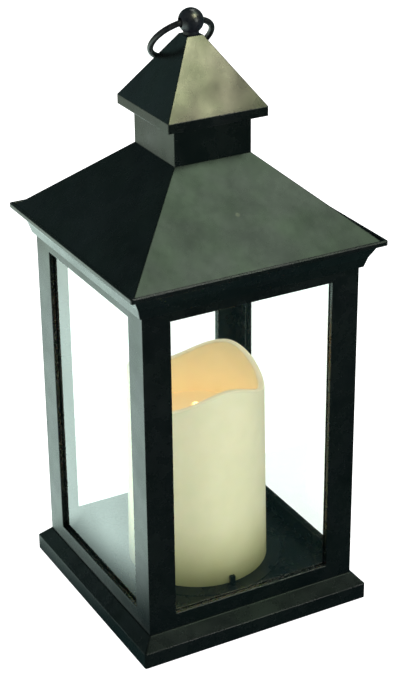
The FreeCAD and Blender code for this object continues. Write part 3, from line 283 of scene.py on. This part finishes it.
def candle_wax(name, rim_glow, well_glow):
    """Ivory wax with faint ripples, and painted shade that makes the foot darker and olive. Its upward faces
    and its well get a weak painted glow.
    """
    s = Shading(name)
    rise = s.spread(s.axis("Z"), 0.0, 1.0, CANDLE_FOOT, CANDLE_TOP)
    # Painted shade: the ramp darkens the wax and turns it olive towards the foot.
    body = s.ramp(rise, (0.0, (0.50, 0.48, 0.21)), (0.1, (0.70, 0.67, 0.36)), (0.3, (0.87, 0.81, 0.53)),
                  (1.0, (0.89, 0.83, 0.58)))
    tint = s.ramp(s.noise(0.012, detail=4), (0.35, (0.95, 0.96, 0.93)), (0.65, (1.0, 1.0, 1.0)))
    color = s.mix(1.0, body, tint, "MULTIPLY")
    normal = s.bump((s.noise(0.016, detail=2), 0.3, 0.0005), (s.noise(0.0015, detail=2), 0.2, 0.00003))
    rough = s.spread(s.noise(0.01, detail=3), 0.4, 0.55)
    facing = s.add("ShaderNodeSeparateXYZ")
    s.links.new(s.add("ShaderNodeNewGeometry").outputs["Normal"], facing.inputs[0])
    upward = s.spread(facing.outputs["Z"], 0.0, rim_glow, *RIM_FACING, smooth=True)
    from_axis = s.reach(s.axis("X"), s.axis("Y"))
    inside = s.spread(from_axis, 1.0, 0.0, WELL_RADIUS, WELL_RADIUS + WELL_EDGE)
    low = s.spread(s.axis("Z"), 1.0, 0.0, LAMP_DECK, CANDLE_TOP, smooth=True)
    lit = s.maths("MULTIPLY", inside, low)
    s.show(s.principled(Base_Color=color, Roughness=rough, IOR=WAX_IOR, Normal=normal,
                        Subsurface_Weight=0.25, Subsurface_Radius=(1.0, 0.6, 0.25), Subsurface_Scale=WAX_DEPTH,
                        Emission_Color=s.mix(lit, RIM_LIGHT, WELL_LIGHT),
                        Emission_Strength=s.maths("MAXIMUM", upward, s.maths("MULTIPLY", lit, well_glow))))
    return s.material


LENS_TOP = 0.1125
LENS_GLOW = 0.5


def lamp_lens():
    """The bulb's tip: a weak glow, orange low down and yellow at the top."""
    s = Shading("lamp_lens")
    glow = s.ramp(s.spread(s.axis("Z"), 0.0, 1.0, LAMP_DECK, LENS_TOP), (0.0, (1.0, 0.42, 0.10)),
                  (0.7, (1.0, 0.66, 0.25)), (1.0, (1.0, 0.86, 0.42)))
    color = s.ramp(s.noise(0.001), (0.3, (0.9, 0.6, 0.3)), (0.7, (1.0, 0.75, 0.45)))
    s.show(s.principled(Base_Color=color, Roughness=0.2, Emission_Color=glow, Emission_Strength=LENS_GLOW))
    return s.material


CELL_FOOT = 0.0145
CELL_TOP = 0.0645


def cell_sleeve():
    """A plain sleeve: a dark body with a coppery band at the top end."""
    s = Shading("cell_sleeve")
    rise = s.spread(s.axis("Z"), 0.0, 1.0, CELL_FOOT, CELL_TOP)
    color = s.ramp(rise, (0.0, (0.02, 0.022, 0.026)), (0.72, (0.03, 0.033, 0.038)), (0.74, (0.45, 0.20, 0.07)),
                   (0.97, (0.5, 0.24, 0.09)), (1.0, (0.6, 0.6, 0.58)))
    s.show(s.principled(Base_Color=color, Roughness=s.spread(s.noise(0.003), 0.2, 0.34)))
    return s.material


HOUSING_DARK = (0.0004, 0.0012, 0.0011)
HOUSING_LIGHT = (0.0012, 0.0026, 0.0024)
BASE_DARK = (0.0025, 0.0040, 0.0038)
BASE_LIGHT = (0.0050, 0.0075, 0.0068)
# Colours along a ramp, as (position, colour).
BALL_STOPS = ((0.4, (0.004, 0.005, 0.008)), (0.6, (0.009, 0.010, 0.014)))
WIRE_STOPS = ((0.4, (0.004, 0.004, 0.005)), (0.62, (0.012, 0.013, 0.014)))
BOARD_STOPS = ((0.35, (0.01, 0.09, 0.035)), (0.65, (0.02, 0.15, 0.06)))
STEEL_STOPS = ((0.3, (0.42, 0.42, 0.40)), (0.7, (0.66, 0.66, 0.63)))
RUBBER_STOPS = ((0.35, (0.012, 0.012, 0.012)), (0.65, (0.03, 0.03, 0.029)))
LEAD_STOPS = ((0.3, (0.35, 0.015, 0.012)), (0.7, (0.5, 0.03, 0.02)))
RIM_GLOW = 0.32
WELL_GLOW = 0.24
DECK_GLOW = 0.36


def finish_nodes():
    """Gives every piece of the lantern its finish."""
    finishes = {
        "housing_plastic": moulded_plastic("housing_plastic", HOUSING_DARK, HOUSING_LIGHT),
        "finial_gloss": enamel("finial_gloss", (0.004, 0.002, 0.003), BALL_STOPS, (0.26, 0.36), (0.3, 0.00006)),
        "ring_wire": enamel("ring_enamel", (0.003, 0.0015, 0.0012), WIRE_STOPS, (0.25, 0.45), (0.4, 0.00005)),
        "clear_pane": clear_pane(),
        "candle_wax": candle_wax("candle_wax", RIM_GLOW, WELL_GLOW),
        "lamp_deck": candle_wax("lamp_deck", 0.0, DECK_GLOW),
        "led_lens": lamp_lens(),
        "board": speckled("board_laminate", 0.0008, BOARD_STOPS, (0.3, 0.45), (0.2, 0.00003), detail=2),
        "steel": speckled("plated_steel", 0.0008, STEEL_STOPS, (0.25, 0.45), (0.2, 0.00002), detail=4,
                          stretch=(1, 1, 12), metallic=1.0),
        "rubber": speckled("black_rubber", 0.0006, RUBBER_STOPS, (0.7, 0.9), (0.5, 0.0001)),
        "base_plastic": moulded_plastic("base_plastic", BASE_DARK, BASE_LIGHT, (0.24, 0.33)),
        "cell_wrap": cell_sleeve(),
        "lead_cover": speckled("lead_insulation", 0.001, LEAD_STOPS, (0.3, 0.45)),
    }
    for part in frame["record"]["subparts"]:
        piece = frame["nodes"][part["node"]]
        for place in piece.material_slots:
            place.material = finishes[part["material_slot"]]


# --- studio ---

def toward(azimuth, elevation):
    """A direction from degrees clockwise from +Y and degrees above the floor."""
    turn, rise = math.radians(azimuth), math.radians(elevation)
    return Vector((math.sin(turn) * math.cos(rise), math.cos(turn) * math.cos(rise), math.sin(rise)))


FLOOR_HALF = 4.0
FLOOR_COLOR = (0.5, 0.5, 0.5)
FLOOR_GLOW = 1.05
# The floor as gloss sees it. It is bright behind and to the left, from SIDE_START to SIDE_END along
# SIDE_DIRECTION, and shaded in front and by the foot. Past FAR_START it changes colour and fades.
SHEEN_COLOR = (1.72, 2.2, 2.04)
SHADE_COLOR = (0.02, 0.06, 0.06)
SIDE_DIRECTION = (-0.6, 0.8)
SIDE_START = 0.015
SIDE_END = 0.115
FOOT_HALF = 0.07
CONTACT_WIDTH = 0.03
CONTACT_SHARE = 0.1
FAR_COLOR = (1.80, 2.1, 1.6)
FAR_SHARE = 0.3
FAR_START = 0.45
FAR_END = 0.9


def make_floor():
    """A pale floor that is clear from below, and that gloss sees in its own colours."""
    corners = [(-FLOOR_HALF, -FLOOR_HALF, 0), (FLOOR_HALF, -FLOOR_HALF, 0),
               (FLOOR_HALF, FLOOR_HALF, 0), (-FLOOR_HALF, FLOOR_HALF, 0)]
    mesh = bpy.data.meshes.new("floor")
    mesh.from_pydata(corners, [], [(0, 1, 2, 3)])
    floor = bpy.data.objects.new("floor", mesh)
    bpy.context.collection.objects.link(floor)
    s = Shading("pale_floor")
    pale = s.principled(Base_Color=FLOOR_COLOR, Roughness=0.9, Specular_IOR_Level=0.0,
                        Emission_Color=(1, 1, 1), Emission_Strength=FLOOR_GLOW)
    across, back = s.axis("X"), s.axis("Y")
    shares = [s.maths("MULTIPLY", step, part) for step, part in zip((across, back), SIDE_DIRECTION)]
    side = s.spread(s.maths("ADD", *shares), 0.0, 1.0, SIDE_START, SIDE_END, smooth=True)
    from_foot = s.maths("MAXIMUM", s.maths("ABSOLUTE", across), s.maths("ABSOLUTE", back))
    clear = s.spread(from_foot, CONTACT_SHARE, 1.0, FOOT_HALF, FOOT_HALF + CONTACT_WIDTH, smooth=True)
    away = s.reach(across, back)
    near = s.spread(away, 1.0, FAR_SHARE, FAR_START, FAR_END, smooth=True)
    strength = s.maths("MULTIPLY", s.maths("MULTIPLY", side, clear), near)
    sheen = s.mix(s.spread(away, 0.0, 1.0, FAR_START, FAR_END), SHEEN_COLOR, FAR_COLOR)
    mirrored = s.add("ShaderNodeEmission")
    s.feed(mirrored.inputs["Color"], s.mix(strength, SHADE_COLOR, sheen))
    glossy_ray = s.add("ShaderNodeLightPath").outputs["Is Glossy Ray"]
    above = s.mix_shaders(glossy_ray, pale, mirrored)
    below = s.add("ShaderNodeBsdfTransparent")
    s.show(s.mix_shaders(s.add("ShaderNodeNewGeometry").outputs["Backfacing"], above, below))
    mesh.materials.append(s.material)


def area_light(name, place, aim, side, radiance, color):
    """A soft square light of a given brightness at a place, facing the point it is aimed at."""
    data = bpy.data.lights.new(name, "AREA")
    data.shape = "SQUARE"
    data.size = side
    data.energy = radiance * math.pi * side * side
    data.color = color
    light = bpy.data.objects.new(name, data)
    light.location = place
    light.rotation_euler = (place - aim).to_track_quat("Z", "Y").to_euler()
    light.visible_camera = False
    bpy.context.collection.objects.link(light)
    return light


CAP_FRONT = Vector((0, -0.0167, 0.3055))     # middle of the top roof's front slope
CAP_MIRROR_AZIMUTH = 142                      # where that slope mirrors the camera's view to
CAP_MIRROR_ELEVATION = 42.6
CAP_PANEL_DISTANCE = 0.55
CAP_PANEL_RISE = 0.1
CAP_PANEL_SHIFT = 0.07
CAP_PANEL_SIZE = 0.22
CAP_PANEL_RADIANCE = 21.0
CAP_PANEL_COLOR = (1.0, 1.0, 0.62)
CAP_PANEL_PIECES = ("top_roof", "finial", "hanging_ring")
SOFT_LIGHT_DISTANCE = 1.4
SOFT_LIGHT_SIZE = 0.8
SOFT_LIGHT_AIM = Vector((0, 0, 0.1))
# Name, azimuth and elevation in degrees, brightness.
SOFT_LIGHTS = (("front_light", 185, 12, 0.7), ("side_light", 100, 12, 1.2))
GLOW_PLACE = Vector((0, 0, 0.1165))
GLOW_RADIUS = 0.003
GLOW_WATTS = 0.006
GLOW_COLOR = (1.0, 0.6, 0.3)


def make_lights():
    """A small bright panel that shines on the top pieces alone, two soft lights and the candle's glow."""
    ray = toward(CAP_MIRROR_AZIMUTH, CAP_MIRROR_ELEVATION)
    sideways = ray.cross(Vector((0, 0, 1))).normalized()
    upward = sideways.cross(ray)
    place = CAP_FRONT + ray * CAP_PANEL_DISTANCE + upward * CAP_PANEL_RISE + sideways * CAP_PANEL_SHIFT
    panel = area_light("cap_panel", place, CAP_FRONT, CAP_PANEL_SIZE, CAP_PANEL_RADIANCE, CAP_PANEL_COLOR)
    panel.visible_diffuse = False
    flagged = bpy.data.collections.new("cap_panel_shines_on")
    for node in CAP_PANEL_PIECES:
        flagged.objects.link(frame["nodes"][node])
    panel.light_linking.receiver_collection = flagged
    for name, azimuth, elevation, radiance in SOFT_LIGHTS:
        place = SOFT_LIGHT_AIM + toward(azimuth, elevation) * SOFT_LIGHT_DISTANCE
        soft = area_light(name, place, SOFT_LIGHT_AIM, SOFT_LIGHT_SIZE, radiance, (1, 1, 1))
        soft.visible_glossy = False
    data = bpy.data.lights.new("candle_glow", "POINT")
    data.energy = GLOW_WATTS
    data.color = GLOW_COLOR
    data.shadow_soft_size = GLOW_RADIUS
    glow = bpy.data.objects.new("candle_glow", data)
    glow.location = GLOW_PLACE
    glow.visible_glossy = False
    bpy.context.collection.objects.link(glow)


# Soft bright places of the studio as gloss sees them: azimuth and elevation, full and faded angle, all
# in degrees, then brightness and colour.
GLOSS_LOBES = (
    (119, 59, 5, 19, 3.4, (0.76, 1.0, 0.72)),
    (154, 11, 6, 14, 7.0, (0.95, 1.0, 0.9)),
    (51, 60, 5, 12, 6.0, (0.95, 1.0, 0.9)),
    (-27, 17, 4, 12, 0.2, (0.6, 1.0, 1.0)),
)
GLOSS_BASE = (0.04, 0.075, 0.07)
SOFT_AMBIENT = 1.05


def make_world():
    """A pale room. Gloss sees it as a dark studio with a few soft bright places."""
    world = bpy.data.worlds.new("studio")
    world.use_nodes = True
    bpy.context.scene.world = world
    nodes, links = world.node_tree.nodes, world.node_tree.links
    nodes.clear()
    direction = nodes.new("ShaderNodeTexCoord").outputs["Generated"]
    total = nodes.new("ShaderNodeCombineXYZ")
    for socket, level in zip(total.inputs, GLOSS_BASE):
        socket.default_value = level
    total = total.outputs[0]
    for azimuth, elevation, full, faded, brightness, color in GLOSS_LOBES:
        dot = nodes.new("ShaderNodeVectorMath")
        dot.operation = "DOT_PRODUCT"
        links.new(direction, dot.inputs[0])
        dot.inputs[1].default_value = toward(azimuth, elevation)
        fade = nodes.new("ShaderNodeMapRange")
        fade.interpolation_type = "SMOOTHSTEP"
        links.new(dot.outputs["Value"], fade.inputs["Value"])
        fade.inputs["From Min"].default_value = math.cos(math.radians(faded))
        fade.inputs["From Max"].default_value = math.cos(math.radians(full))
        tint = nodes.new("ShaderNodeVectorMath")
        tint.operation = "SCALE"
        tint.inputs[0].default_value = [part * brightness for part in color]
        links.new(fade.outputs["Result"], tint.inputs["Scale"])
        add = nodes.new("ShaderNodeVectorMath")
        links.new(total, add.inputs[0])
        links.new(tint.outputs["Vector"], add.inputs[1])
        total = add.outputs["Vector"]
    gloss = nodes.new("ShaderNodeBackground")
    links.new(total, gloss.inputs["Color"])
    room = nodes.new("ShaderNodeBackground")
    room.inputs["Color"].default_value = (1, 1, 1, 1)
    room.inputs["Strength"].default_value = SOFT_AMBIENT
    kind = nodes.new("ShaderNodeLightPath")
    mixed = nodes.new("ShaderNodeMixShader")
    output = nodes.new("ShaderNodeOutputWorld")
    links.new(kind.outputs["Is Glossy Ray"], mixed.inputs["Fac"])
    links.new(room.outputs[0], mixed.inputs[1])
    links.new(gloss.outputs[0], mixed.inputs[2])
    links.new(mixed.outputs[0], output.inputs["Surface"])


bpy.context.scene.view_settings.view_transform = "Standard"
make_camera()
make_floor()
make_lights()
make_world()
finish_nodes()
